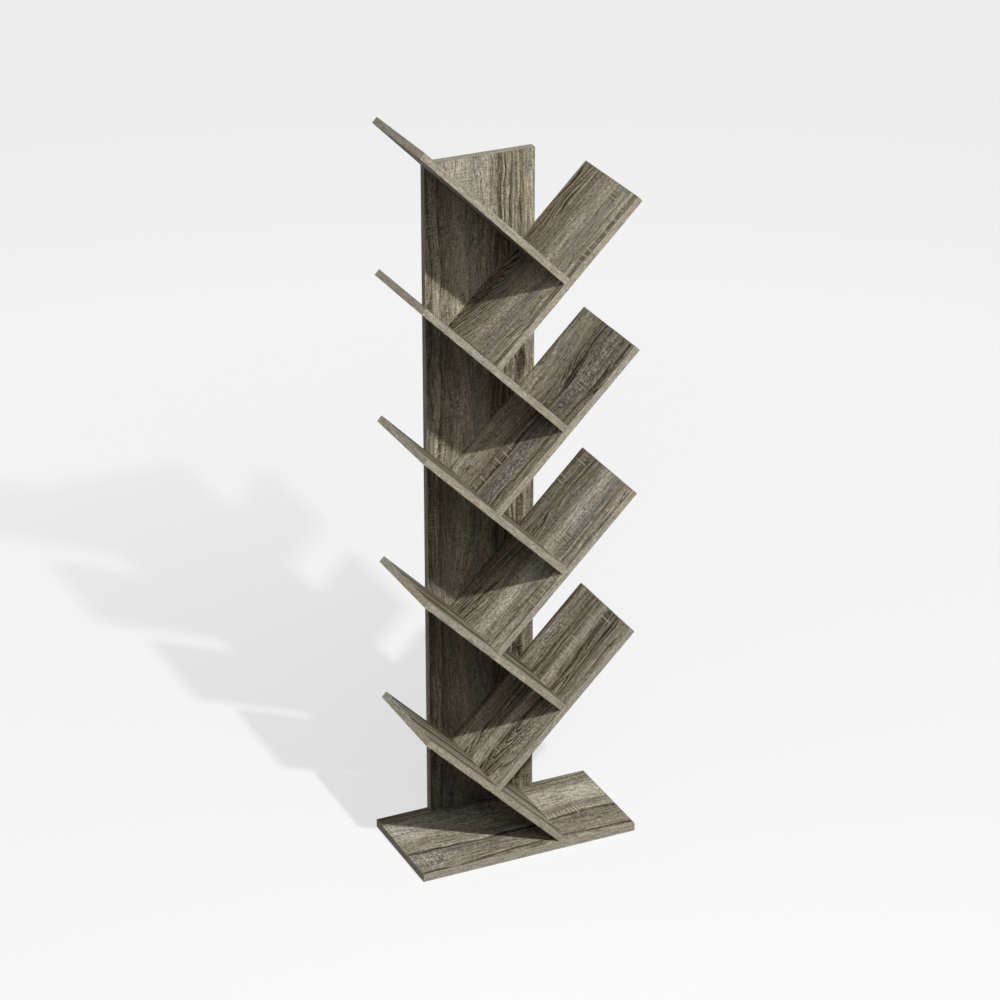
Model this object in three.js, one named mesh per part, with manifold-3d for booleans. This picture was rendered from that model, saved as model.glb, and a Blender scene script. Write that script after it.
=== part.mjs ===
// A bookshelf shaped like a tree. A tall trunk stands at the back of a flat base, and nine
// branches at 45 degrees climb it in a zigzag, leaning left and right in turn. Each branch is
// a plain rectangular board. Its square-cut lower end stands on the middle of the branch below,
// so every pair makes a V that holds books. The lowest branch stands on the base.
// Lengths are in millimetres. +Z is up, the front faces -Y and +X is to the right. The origin
// is the middle of the base's underside.

import * as THREE from "three";
import { mergeVertices } from "three/addons/utils/BufferGeometryUtils.js";
import Module from "manifold-3d";

const wasm = await Module();
wasm.setup();

// Branches
const branchCount = 9;
const branchLength = 380;
const branchDepth = 203;
const branchThickness = 13;
const footWidth = 3; // flat trimmed on the lowest branch's lower edge, where it meets the base

// Trunk
const trunkWidth = 213;
const trunkThickness = 15;
const trunkOffset = -6; // of the trunk's middle from the base's middle
const trunkAboveTopJoint = 179; // from the top branch's lower edge to the trunk's top

// Base
const baseWidth = 433;
const baseThickness = 16;

// Eased edges and seats
const arris = 0.6; // bevel that takes the sharpness off each board's edges
const seatGap = 0.3; // between two boards that bear on each other

// Connecting screws, with a flat countersunk head and a hex socket
const screw = {
  length: 45,
  headRadius: 4.5,
  headRim: 0.6,
  headCone: 2.2,
  shankRadius: 2.5,
  tipLength: 4,
  tipRadius: 0.8,
  socketRadius: 1.9,
  socketDepth: 2.2,
};
const headRecess = 0.4; // of a screw's head below the board's face

// Wooden dowels, with chamfered ends
const dowel = {
  length: 28,
  radius: 3,
  chamfer: 1,
};
const dowelInFace = 8; // of a dowel's length that goes into the face of the board it starts in

// Bores
const boreClearance = 0.25; // all round a fastener
const overrun = 5; // of a cutter past the face that it opens
const roundSides = 12;

// Where the fasteners go
const trunkScrewFromEnd = 45; // along a branch, from its lower end
const trunkScrewSpacing = 130; // along a branch
const jointScrewInset = 50; // from a branch's front and back edges
const baseScrewInset = 30; // from the trunk's left and right edges

// The plan, from front to back. The trunk closes off the branches' back edges, and its own
// back face is flush with the base's.
const baseDepth = branchDepth + seatGap + trunkThickness;
const frontY = -baseDepth / 2;
const branchBackY = frontY + branchDepth;
const trunkFrontY = branchBackY + seatGap;
const trunkBackY = trunkFrontY + trunkThickness;

// The zigzag. Seen from the front, both leans are square to each other, so a branch's end
// face lies flat on the face of the one below it.
const lean = Math.PI / 4;
const branchToEnd = branchThickness + seatGap; // from a branch's underside to the end that it carries
const endFromEnd = (branchLength - branchThickness) / 2; // along a branch, to the one that it carries
const rise = (endFromEnd + branchToEnd) * Math.sin(lean);
const sway = (endFromEnd - branchToEnd) * Math.cos(lean);
const footHeight = footWidth / 2; // a level cut at 45 degrees is twice as wide as it is high
const lowestZ = baseThickness + seatGap - footHeight;

// The trunk, from bottom to top
const trunkBottomZ = baseThickness + seatGap;
const trunkTopZ = lowestZ + (branchCount - 1) * rise + trunkAboveTopJoint;
const trunkHeight = trunkTopZ - trunkBottomZ;

// Finishes
const weatheredOak = () =>
  new THREE.MeshStandardMaterial({ color: 0x8b8474, roughness: 0.7, metalness: 0 });
const zincSteel = () =>
  new THREE.MeshStandardMaterial({ color: 0xa9aaa8, roughness: 0.4, metalness: 0.9 });
const beech = () =>
  new THREE.MeshStandardMaterial({ color: 0xc9a878, roughness: 0.8, metalness: 0 });

// A closed three.js geometry as a solid that can be joined and cut.
function toSolid(geometry) {
  const bare = new THREE.BufferGeometry();
  bare.setAttribute("position", geometry.getAttribute("position"));
  bare.setIndex(geometry.index);
  const merged = mergeVertices(bare);
  const vertProperties = Float32Array.from(merged.getAttribute("position").array);
  const triVerts = Uint32Array.from(merged.index.array);
  return new wasm.Manifold(new wasm.Mesh({ numProp: 3, vertProperties, triVerts }));
}

function toGeometry(solid) {
  const { vertProperties, triVerts } = solid.getMesh();
  const geometry = new THREE.BufferGeometry();
  geometry.setAttribute("position", new THREE.BufferAttribute(vertProperties, 3));
  geometry.setIndex(new THREE.BufferAttribute(triVerts, 1));
  geometry.computeVertexNormals();
  return geometry;
}

function namedMesh(name, geometry, material) {
  const mesh = new THREE.Mesh(geometry, material);
  mesh.name = name;
  return mesh;
}

// A rectangular board with eased edges, centred on X and Y and standing on Z = 0.
function boardGeometry(width, depth, thickness) {
  const outline = new THREE.Shape([
    new THREE.Vector2(-width / 2, -depth / 2),
    new THREE.Vector2(width / 2, -depth / 2),
    new THREE.Vector2(width / 2, depth / 2),
    new THREE.Vector2(-width / 2, depth / 2),
  ]);
  const board = new THREE.ExtrudeGeometry(outline, {
    depth: thickness - 2 * arris,
    bevelThickness: arris,
    bevelSize: arris,
    bevelOffset: -arris,
    bevelSegments: 1,
  });
  return board.translate(0, 0, arris);
}

// A round profile turned about Y. Its points run from the top of the piece down to its end,
// and both ends lie on the axis.
function turned(points) {
  const profile = points.map(([radius, y]) => new THREE.Vector2(radius, y));
  return new THREE.LatheGeometry(profile.reverse(), roundSides);
}

// A screw hangs down -Y from its head, whose flat top is at Y = 0.
function screwProfile(grown, above, below) {
  const coneEnd = screw.headRim + screw.headCone;
  return [
    [0, above],
    [screw.headRadius + grown, above],
    [screw.headRadius + grown, -screw.headRim],
    [screw.shankRadius + grown, -coneEnd],
    [screw.shankRadius + grown, -(screw.length - screw.tipLength)],
    [screw.tipRadius + grown, -(screw.length + below)],
    [0, -(screw.length + below)],
  ];
}

function screwGeometry() {
  const socket = new THREE.CylinderGeometry(
    screw.socketRadius,
    screw.socketRadius,
    screw.socketDepth + overrun,
    6,
  );
  socket.translate(0, (overrun - screw.socketDepth) / 2, 0);
  return toGeometry(toSolid(turned(screwProfile(0, 0, 0))).subtract(toSolid(socket)));
}

// A dowel hangs down -Y too, from its end in the face of a board.
function dowelProfile(grown) {
  const end = dowel.length + grown;
  return [
    [0, grown],
    [dowel.radius - dowel.chamfer + grown, grown],
    [dowel.radius + grown, -dowel.chamfer],
    [dowel.radius + grown, -(dowel.length - dowel.chamfer)],
    [dowel.radius - dowel.chamfer + grown, -end],
    [0, -end],
  ];
}

function screwMesh(name) {
  const mesh = namedMesh(name, screwGeometry(), zincSteel());
  mesh.userData.bore = turned(screwProfile(boreClearance, overrun, boreClearance));
  return mesh;
}

function dowelMesh(name) {
  const mesh = namedMesh(name, turned(dowelProfile(0)), beech());
  mesh.userData.bore = turned(dowelProfile(boreClearance));
  return mesh;
}

// Cuts a board by closed geometries that are placed in the frame of another object.
function cut(board, cutters) {
  const toBoard = board.matrixWorld.clone().invert();
  let solid = toSolid(board.geometry);
  for (const { geometry, frame } of cutters) {
    const inBoard = toBoard.clone().multiply(frame);
    solid = solid.subtract(toSolid(geometry.clone().applyMatrix4(inBoard)));
  }
  board.geometry = toGeometry(solid);
}

// Drills a board for the fasteners that pass through it or end in it.
function drill(board, fasteners) {
  const bores = fasteners.map((fastener) => ({
    geometry: fastener.userData.bore,
    frame: fastener.matrixWorld,
  }));
  cut(board, bores);
}

// One branch in a group of its own. The group's origin is the lower edge of the branch's
// underside, its X runs along the branch and its Z across the thickness. A branch that leans
// right climbs along +X, and one that leans left climbs along -X.
function buildBranch(number) {
  const leansLeft = number % 2 === 1;
  const climb = leansLeft ? -1 : 1;
  const group = new THREE.Group();
  group.position.set((-climb * sway) / 2, 0, lowestZ + (number - 1) * rise);
  group.rotation.y = -climb * lean;

  const board = namedMesh(
    `branch_${number}_${leansLeft ? "left" : "right"}`,
    boardGeometry(branchLength, branchDepth, branchThickness),
    weatheredOak(),
  );
  board.position.set((climb * branchLength) / 2, frontY + branchDepth / 2, 0);
  group.add(board);

  const alongTrunk = (fastener, fromEnd, y) => {
    fastener.position.set(climb * fromEnd, y, branchThickness / 2);
    group.add(fastener);
    return fastener;
  };
  const trunkScrews = [
    alongTrunk(screwMesh(`trunk_screw_${number}_lower`), trunkScrewFromEnd, trunkBackY - headRecess),
    alongTrunk(
      screwMesh(`trunk_screw_${number}_upper`),
      trunkScrewFromEnd + trunkScrewSpacing,
      trunkBackY - headRecess,
    ),
  ];
  const trunkDowel = alongTrunk(
    dowelMesh(`trunk_dowel_${number}`),
    trunkScrewFromEnd + trunkScrewSpacing / 2,
    trunkFrontY + dowelInFace,
  );

  // A branch that stands on another is screwed to it from that one's underside. The lowest
  // branch only bears on the base.
  const jointScrews = [];
  const jointPlaces = { front: frontY + jointScrewInset, back: branchBackY - jointScrewInset };
  for (const [place, y] of number > 1 ? Object.entries(jointPlaces) : []) {
    const fastener = screwMesh(`joint_screw_${number}_${place}`);
    fastener.position.set(-climb * (branchToEnd - headRecess), y, branchThickness / 2);
    fastener.rotation.z = (climb * Math.PI) / 2;
    group.add(fastener);
    jointScrews.push(fastener);
  }
  return { group, board, toTrunk: [...trunkScrews, trunkDowel], toBranchBelow: jointScrews };
}

// The trunk stands on its end, so its board is turned up from lying flat.
function buildTrunk() {
  const board = namedMesh(
    "trunk",
    boardGeometry(trunkWidth, trunkHeight, trunkThickness),
    weatheredOak(),
  );
  board.rotation.x = Math.PI / 2;
  board.position.set(trunkOffset, trunkBackY, trunkBottomZ + trunkHeight / 2);
  return board;
}

function buildBase() {
  return namedMesh("base", boardGeometry(baseWidth, baseDepth, baseThickness), weatheredOak());
}

// Screws and dowels that rise from the base into the trunk's lower edge.
function buildBaseFasteners() {
  const trunkMiddleY = trunkBackY - trunkThickness / 2;
  const reach = trunkWidth / 2 - baseScrewInset;
  const rising = (fastener, x, z) => {
    fastener.position.set(trunkOffset + x, trunkMiddleY, z);
    fastener.rotation.x = -Math.PI / 2;
    return fastener;
  };
  const dowelZ = baseThickness - dowelInFace;
  return [
    rising(screwMesh("base_screw_left"), -reach, headRecess),
    rising(screwMesh("base_screw_middle"), 0, headRecess),
    rising(screwMesh("base_screw_right"), reach, headRecess),
    rising(dowelMesh("base_dowel_left"), -reach / 2, dowelZ),
    rising(dowelMesh("base_dowel_right"), reach / 2, dowelZ),
  ];
}

// The lowest branch is trimmed level where its lower edge meets the base.
function trimFoot(board) {
  const reach = branchThickness + footWidth;
  const slab = new THREE.BoxGeometry(2 * reach, branchDepth + 2 * overrun, reach);
  const frame = new THREE.Matrix4().makeTranslation(
    sway / 2,
    frontY + branchDepth / 2,
    baseThickness + seatGap - reach / 2,
  );
  cut(board, [{ geometry: slab, frame }]);
}

function buildBookshelf() {
  const shelf = new THREE.Group();
  const base = buildBase();
  const trunk = buildTrunk();
  const baseFasteners = buildBaseFasteners();
  shelf.add(base, trunk, ...baseFasteners);

  const branches = [];
  for (let number = 1; number <= branchCount; number += 1) {
    const branch = buildBranch(number);
    shelf.add(branch.group);
    branches.push(branch);
  }
  shelf.updateMatrixWorld(true);

  drill(base, baseFasteners);
  drill(trunk, [...baseFasteners, ...branches.flatMap((branch) => branch.toTrunk)]);
  branches.forEach((branch, index) => {
    const carried = branches[index + 1];
    drill(branch.board, [
      ...branch.toTrunk,
      ...branch.toBranchBelow,
      ...(carried ? carried.toBranchBelow : []),
    ]);
  });
  trimFoot(branches[0].board);
  return shelf;
}

export default buildBookshelf();
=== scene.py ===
"""Looks of a bookshelf shaped like a tree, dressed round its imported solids.

Nine laminated branches climb a trunk board in a zigzag above a flat base. Every board is built here
again with rounded arrises, edge bands, glue lines and drilled bores, and every screw and dowel with
its thread, socket or flutes. Lengths in the dataclasses are in millimetres.
"""

import logging
import math
from collections.abc import Callable
from dataclasses import dataclass
from enum import Enum
from functools import cache

import bmesh
import bpy
from bmesh.types import BMEdge, BMesh, BMFace
from bpy.types import Material, Mesh, Node, NodeSocket, NodeTree, Object, World
from mathutils import Matrix, Vector


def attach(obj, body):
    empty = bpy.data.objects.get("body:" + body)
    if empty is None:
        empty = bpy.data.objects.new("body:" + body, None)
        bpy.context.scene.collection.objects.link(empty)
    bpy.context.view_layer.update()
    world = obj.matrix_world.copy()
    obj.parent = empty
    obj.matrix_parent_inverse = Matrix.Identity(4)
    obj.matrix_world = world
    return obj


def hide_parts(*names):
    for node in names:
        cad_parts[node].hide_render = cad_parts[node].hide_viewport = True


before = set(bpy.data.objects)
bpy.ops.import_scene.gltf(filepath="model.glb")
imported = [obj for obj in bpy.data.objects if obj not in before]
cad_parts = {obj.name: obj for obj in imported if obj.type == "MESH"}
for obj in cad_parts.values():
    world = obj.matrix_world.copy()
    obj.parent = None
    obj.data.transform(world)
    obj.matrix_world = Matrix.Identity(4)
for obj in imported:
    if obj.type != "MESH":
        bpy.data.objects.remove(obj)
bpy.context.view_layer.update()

MM = 0.001
BODY = "root"
REPORT = logging.getLogger("bookshelf")

Point = tuple[float, float, float]
Srgb = tuple[float, float, float]
Colour = tuple[float, float, float, float]


# Sizes


@dataclass(frozen=True)
class Layout:
    """Sizes and places that the boards share, as in the solids."""

    branch_count: int = 9
    branch_length: float = 380.0
    branch_depth: float = 203.0
    branch_thickness: float = 13.0
    foot_width: float = 3.0
    trunk_width: float = 213.0
    trunk_thickness: float = 15.0
    trunk_offset: float = -6.0
    trunk_above_top_joint: float = 179.0
    base_width: float = 433.0
    base_thickness: float = 16.0
    seat_gap: float = 0.3
    head_recess: float = 0.4
    dowel_in_face: float = 8.0
    trunk_screw_from_end: float = 45.0
    trunk_screw_spacing: float = 130.0
    joint_screw_inset: float = 50.0
    base_screw_inset: float = 30.0
    lean: float = math.radians(45)

    @property
    def base_depth(self) -> float:
        """Depth of the base, from the branches' front to the trunk's back."""
        return self.branch_depth + self.seat_gap + self.trunk_thickness

    @property
    def front(self) -> float:
        """Y of the front edges."""
        return -self.base_depth / 2

    @property
    def trunk_front(self) -> float:
        """Y of the trunk's front face."""
        return self.front + self.branch_depth + self.seat_gap

    @property
    def trunk_back(self) -> float:
        """Y of the trunk's back face."""
        return self.trunk_front + self.trunk_thickness

    @property
    def end_drop(self) -> float:
        """From a branch's underside to the end that it carries."""
        return self.branch_thickness + self.seat_gap

    @property
    def end_from_end(self) -> float:
        """Along a branch, from its lower end to the one that it carries."""
        return (self.branch_length - self.branch_thickness) / 2

    @property
    def rise(self) -> float:
        """Height from one branch's lower end to the next one's."""
        return (self.end_from_end + self.end_drop) * math.sin(self.lean)

    @property
    def sway(self) -> float:
        """Sideways distance between the lower ends of two neighbours."""
        return (self.end_from_end - self.end_drop) * math.cos(self.lean)

    @property
    def lowest(self) -> float:
        """Z of the lowest branch's untrimmed edge."""
        return self.trunk_bottom - self.foot_width / 2

    @property
    def trunk_bottom(self) -> float:
        """Z of the trunk's lower end."""
        return self.base_thickness + self.seat_gap

    @property
    def trunk_top(self) -> float:
        """Z of the trunk's upper end."""
        return self.lowest + (self.branch_count - 1) * self.rise + self.trunk_above_top_joint

    def branch_frame(self, number: int) -> Matrix:
        """The frame of one branch: its origin is the lower edge of its underside.

        Args:
            number: the branch, counted from the base.

        Returns:
            A matrix from the branch's own millimetres to the shelf's. X runs along the branch, up
            where it leans right and down where it leans left, and Z is square to its faces.
        """
        climb = climb_of(number)
        place = Vector((-climb * self.sway / 2, 0, self.lowest + (number - 1) * self.rise))
        return Matrix.Translation(place) @ Matrix.Rotation(-climb * self.lean, 4, "Y")


LAYOUT = Layout()


def climb_of(number: int) -> int:
    """-1 for a branch that leans left, the odd ones, and 1 for one that leans right."""
    return -1 if number % 2 else 1


def branch_name(number: int) -> str:
    """The node of a branch."""
    return f"branch_{number}_{'left' if climb_of(number) < 0 else 'right'}"


# Colours and figures of the print


def linear(srgb: Srgb) -> Colour:
    """A linear colour with alpha, from red, green and blue between 0 and 255."""
    shares = (value / 255 for value in srgb)
    return (*(s / 12.92 if s <= 0.04045 else ((s + 0.055) / 1.055) ** 2.4 for s in shares), 1.0)


class Tone(Enum):
    """Colours of the printed oak, as sRGB from 0 to 255."""

    CHALK = (192, 188, 175)
    CREAM = (200, 191, 166)
    PALE = (170, 164, 148)
    SAND = (152, 145, 128)
    TAUPE = (138, 131, 115)
    SLATE = (133, 130, 120)
    OLIVE = (130, 124, 105)
    MAUVE = (122, 115, 104)
    UMBER = (110, 101, 83)
    BARK = (84, 74, 58)
    INK = (58, 50, 39)

    @property
    def linear(self) -> Colour:
        """The tone as a linear colour with alpha."""
        return linear(self.value)


@dataclass(frozen=True)
class Streak:
    """A streak of one tone that runs the length of a board.

    at is its place across the board, from 0 at the front edge, or the trunk's right edge, to 1, and
    lined is how strongly the thin dark lines show in it.
    """

    at: float
    tone: Tone
    lined: float = 0.4


@dataclass(frozen=True)
class Knot:
    """A place where the grain swells in loops: where it is, how far it reaches, how strongly."""

    at_along: float
    at_across: float
    reach_along: float
    reach_across: float
    push: float


@dataclass(frozen=True)
class Arch:
    """A stretch where the dark lines nest in pointed arches that open along the board.

    axis is the arches' middle across the board, start and end are where they begin and stop along
    it, rise is how far the lines shift on the way, blunt is how round their tips are, and reach is
    how far across they are drawn dark.
    """

    axis: float
    start: float
    end: float
    rise: float
    blunt: float = 5.0
    reach: float = 22.0


@dataclass(frozen=True)
class FleckRow:
    """A row of thin pale dashes that cross the grain like the rungs of a ladder."""

    start: float
    end: float
    row: float
    reach: float
    pitch: float = 8.0
    strength: float = 0.7
    ground: float = 0.2


@dataclass(frozen=True)
class Patch:
    """A weathered place on a board: crackle in its surface, and a tone in the crackle."""

    at_along: float
    at_across: float
    reach_along: float
    reach_across: float
    amount: float = 0.5
    crackle: float = 1.0
    tone: Tone = Tone.CHALK
    stain: float = 0.0
    net: float = 0.0


def inputs_of(figure: Knot | Arch | FleckRow | Patch) -> dict[str, float]:
    """A figure's numbers, named as the inputs of its node group."""
    return {key.title(): value for key, value in vars(figure).items() if not isinstance(value, Tone)}


@dataclass(frozen=True)
class Layer:
    """Noise stretched along the grain.

    along and across are its cells' size in millimetres, shift is its place in the noise, detail is
    how many finer layers lie on it, and rough is how strong each of those is.
    """

    along: float
    across: float
    shift: float = 0.0
    detail: float = 1.0
    rough: float = 0.5


class Oak:
    """Layers and strengths of the printed oak, the same on every board."""

    SLOW_WANDER = Layer(230.0, 80.0)
    QUICK_WANDER = Layer(64.0, 22.0)
    BANDS = Layer(240.0, 10.0, 0.0, 3.0, 0.55)
    BEND = Layer(150.0, 26.0, 11.0)
    BREAKS = Layer(90.0, 8.0, 17.0)
    FIBRES = Layer(36.0, 3.2, 23.0, 2.0, 0.6)
    PORES = Layer(12.0, 1.8, 31.0, 1.0, 0.6)
    SPECKS = Layer(5.2, 2.8, 37.0, 0.0, 0.6)
    TINT = Layer(150.0, 34.0, 41.0)
    WEAVE = Layer(2.3, 11.0, 53.0, 0.0, 0.6)
    RAYS = Layer(2.4, 22.0, 61.0, 0.0)
    RAY_PLACES = Layer(48.0, 24.0, 67.0)
    RAGGED = Layer(38.0, 5.0, 7.0, 2.0)
    CRACKLE = Layer(3.4, 4.6, 9.0, 1.0, 0.6)
    NET = Layer(8.0, 10.0, 15.0)
    BAND_STREAKS = Layer(24.0, 2.4, 0.0, 3.0, 0.6)
    BAND_SPECKS = Layer(4.2, 3.0, 0.0, 2.0, 0.6)
    BAND_TINT = Layer(90.0, 30.0)

    LINE_PITCH = 7.6
    LINE_DEPTH = 1.1
    LINE_LIFT = 1.17
    LINE_FLOOR = 0.12
    ARCH_DEPTH = 0.5
    FIBRE_DEPTH = 2.1
    SPECK_DEPTH = 1.25
    WEAVE_DEPTH = 0.6
    CRACKLE_DEPTH = 1.3
    FINE_FLOOR = 0.25
    RIM_DEPTH = 0.3
    FEATHER = 8.0
    SHEEN = 0.1
    COOL = (0.985, 1.0, 1.02, 1.0)
    WARM = (1.02, 1.0, 0.955, 1.0)


# Shader wiring


def sum_method(operation: str, swapped: bool = False) -> Callable[..., "Wire"]:
    """A method of Wire that adds one Math node, with its two numbers swapped if asked."""

    def method(self: "Wire", *other: "Wire | float") -> "Wire":
        """Sums this wire, and for most operations another number."""
        numbers = (*other, self) if swapped else (self, *other)
        return self.wiring.maths(operation, *numbers)

    return method


class Wire:
    """One output of a node. A sum with it adds a Math node, and gives that node's output."""

    def __init__(self, wiring: "Wiring", socket: NodeSocket) -> None:
        """Wraps a socket of the wiring's tree."""
        self.wiring = wiring
        self.socket = socket

    __add__ = sum_method("ADD")
    __sub__ = sum_method("SUBTRACT")
    __rsub__ = sum_method("SUBTRACT", swapped=True)
    __mul__ = sum_method("MULTIPLY")
    __truediv__ = sum_method("DIVIDE")
    __abs__ = sum_method("ABSOLUTE")
    at_least = sum_method("MAXIMUM")
    at_most = sum_method("MINIMUM")


Number = Wire | float


class Wiring:
    """Adds nodes to one tree and joins them up."""

    def __init__(self, tree: NodeTree) -> None:
        """Works on an empty or a started tree."""
        self.tree = tree

    def feed(self, socket: NodeSocket, value: object) -> None:
        """Links a socket to a wire, or gives it a value of its own."""
        if isinstance(value, Wire):
            self.tree.links.new(value.socket, socket)
        else:
            socket.default_value = value

    def fill(self, node: Node, **values: object) -> Node:
        """Feeds a node's inputs by name, with _ for a space, and gives the node back."""
        for name, value in values.items():
            self.feed(node.inputs[name.replace("_", " ")], value)
        return node

    def node(self, kind: str, *values: object, **settings: object) -> Node:
        """Adds a node.

        Args:
            kind: the node's type name, without the ShaderNode that most start with.
            values: wires or values for its first inputs, in order.
            settings: its properties.

        Returns:
            The node.
        """
        prefix = "" if kind.startswith("NodeGroup") else "ShaderNode"
        made = self.tree.nodes.new(prefix + kind)
        for name, value in settings.items():
            setattr(made, name, value)
        for socket, value in zip(made.inputs, values):
            self.feed(socket, value)
        return made

    def made(self, kind: str, *values: object, output: int | str = 0, **settings: object) -> Wire:
        """Adds a node, as node does, and gives one of its outputs."""
        return Wire(self, self.node(kind, *values, **settings).outputs[output])

    def maths(self, operation: str, *values: Number) -> Wire:
        """One operation of the Math node, on wires or numbers in order."""
        return self.made("Math", *values, operation=operation)

    def distance(self, x: Number, y: Number) -> Wire:
        """The length of the way to a point from its two parts."""
        return self.maths("SQRT", x * x + y * y)

    def parts(self, vector: Wire) -> list[Wire]:
        """The X, Y and Z of a vector."""
        return [Wire(self, part) for part in self.node("SeparateXYZ", vector).outputs]

    def cells(self, place: Wire, *per_metre: float) -> Wire:
        """A place in cells, from how many cells go into a metre along X, Y and Z."""
        return self.made("VectorMath", place, per_metre, operation="MULTIPLY")

    def noise(self, place: Wire, detail: float = 0.0, rough: float = 0.5) -> Wire:
        """Smooth noise from about 0.2 to 0.8, over a place in its own cells."""
        node = self.node("TexNoise")
        self.fill(node, Vector=place, Scale=1.0, Detail=detail, Roughness=rough)
        return Wire(self, node.outputs[0])

    def layer(self, layer: Layer, along: Number, across: Number, cell: Wire) -> Wire:
        """One layer of stretched noise at a place on a board.

        Args:
            layer: the layer's sizes.
            along: the place along the grain, in millimetres.
            across: the place across it.
            cell: the board's place in the noise.

        Returns:
            The noise.
        """
        sides = (along / layer.along, across / layer.across, cell + layer.shift)
        return self.noise(self.made("CombineXYZ", *sides), layer.detail, layer.rough)

    def remap(
        self,
        value: Number,
        low: Number,
        high: Number,
        to_low: Number = 0.0,
        to_high: Number = 1.0,
        smooth: bool = True,
    ) -> Wire:
        """Moves a number from one range to another, held at its ends.

        Args:
            value: the number.
            low: where the first range starts.
            high: where it ends.
            to_low: the result at low.
            to_high: the result at high.
            smooth: whether it eases in and out.

        Returns:
            The result.
        """
        kind = "SMOOTHSTEP" if smooth else "LINEAR"
        ends = (low, high, to_low, to_high)
        return self.made("MapRange", value, *ends, interpolation_type=kind)

    def blend(
        self, share: Number, first: Wire | Colour, second: Wire | Colour, mode: str = "MIX"
    ) -> Wire:
        """Blends two colours.

        Args:
            share: how much of the second there is.
            first: the lower colour.
            second: the upper colour.
            mode: the blend type.

        Returns:
            The blended colour.
        """
        node = self.node("Mix", data_type="RGBA", blend_type=mode)
        sockets = {socket.identifier: socket for socket in (*node.inputs, *node.outputs)}
        self.feed(sockets["Factor_Float"], share)
        self.feed(sockets["A_Color"], first)
        self.feed(sockets["B_Color"], second)
        return Wire(self, sockets["Result_Color"])

    def shade(self, colour: Wire, amount: Number) -> Wire:
        """A colour made lighter or darker by a factor."""
        node = self.node("VectorMath", colour, operation="SCALE")
        return Wire(self, self.fill(node, Scale=amount).outputs[0])

    def ramp(self, value: Wire, *stops: tuple[float, Colour]) -> list[Wire]:
        """A colour ramp.

        Args:
            value: the place on the ramp.
            stops: (place, linear colour) pairs in order.

        Returns:
            The colour and its alpha.
        """
        node = self.node("ValToRGB", value)
        bar = node.color_ramp
        bar.elements[0].position, bar.elements[0].color = stops[0]
        bar.elements[1].position, bar.elements[1].color = stops[-1]
        for place, colour in stops[1:-1]:
            bar.elements.new(place).color = colour
        return [Wire(self, socket) for socket in node.outputs]

    def group(self, tree: NodeTree, **values: object) -> list[Wire]:
        """Places a node group, feeds its inputs by name, and gives its outputs in order."""
        node = self.fill(self.node("Group", node_tree=tree), **values)
        return [Wire(self, socket) for socket in node.outputs]


class GroupWiring(Wiring):
    """The inside of one node group."""

    def __init__(self, name: str, *inputs: str) -> None:
        """Starts the group. An input named Place is a vector, and the others are numbers."""
        super().__init__(bpy.data.node_groups.new(name, "ShaderNodeTree"))
        for title in inputs:
            kind = "NodeSocketVector" if title == "Place" else "NodeSocketFloat"
            self.tree.interface.new_socket(title, in_out="INPUT", socket_type=kind)
        sockets = self.node("NodeGroupInput").outputs
        self.given = [Wire(self, socket) for socket in sockets if socket.name]

    def close(self, **outputs: Wire) -> NodeTree:
        """Gives the group its outputs by name, and gives the group."""
        for title in outputs:
            self.tree.interface.new_socket(title, in_out="OUTPUT", socket_type="NodeSocketFloat")
        self.node("NodeGroupOutput", *outputs.values())
        return self.tree


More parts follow.
